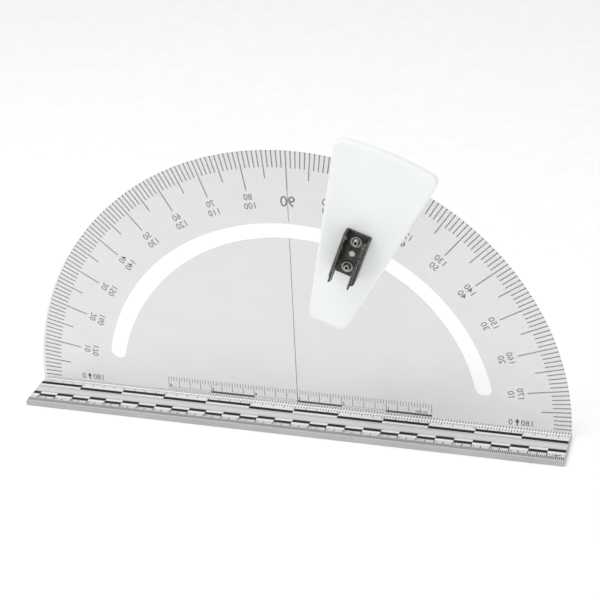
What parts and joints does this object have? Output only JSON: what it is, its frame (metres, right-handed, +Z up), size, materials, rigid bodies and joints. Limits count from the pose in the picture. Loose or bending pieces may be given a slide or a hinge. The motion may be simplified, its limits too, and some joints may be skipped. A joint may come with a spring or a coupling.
{
  "type": "goniometer",
  "caption": "Half-disc protractor standing upright on a flat ruler, with a sliding white block that carries a sprung steel clip for a rod.",
  "frame": {"origin": "underside of the ruler, at mid length, below the front face of the protractor plate", "axes": "+Z up, +X along the ruler to the reader's right, -Y towards the reader and out of the plate's front face"},
  "size_m": [0.3048, 0.0344, 0.1658],
  "materials": {
    "ruler_plastic": "satin",
    "plate_acrylic": "translucent, satin",
    "block_plastic": "soft gloss",
    "shoe_nylon": "matt",
    "pad_felt": "felt",
    "retainer_plastic": "satin",
    "clip_steel": "black oxide",
    "screw_steel": "black oxide, worn",
    "plated_steel": "zinc plated"
  },
  "bodies": {
    "stand": {"base_ruler": "ruler_plastic", "protractor_plate": "plate_acrylic"},
    "slider": {"slider_block": "block_plastic", "guide_shoe": "shoe_nylon", "friction_pad": "pad_felt", "retaining_plate": "retainer_plastic", "rod_clip": "clip_steel", "clip_screw_upper": "screw_steel", "clip_screw_lower": "screw_steel", "clip_washer_upper": "screw_steel", "clip_washer_lower": "screw_steel", "clip_nut_upper": "plated_steel", "clip_nut_lower": "plated_steel", "shoe_screw_left": "plated_steel", "shoe_screw_right": "plated_steel"}
  },
  "joints": [
    {"name": "slider_swing", "type": "hinge", "parent": "stand", "child": "slider", "pos_m": [0, 0, 0.0019], "axis": [0, 1, 0], "range_deg": [-94.5, 54.5]}
  ]
}
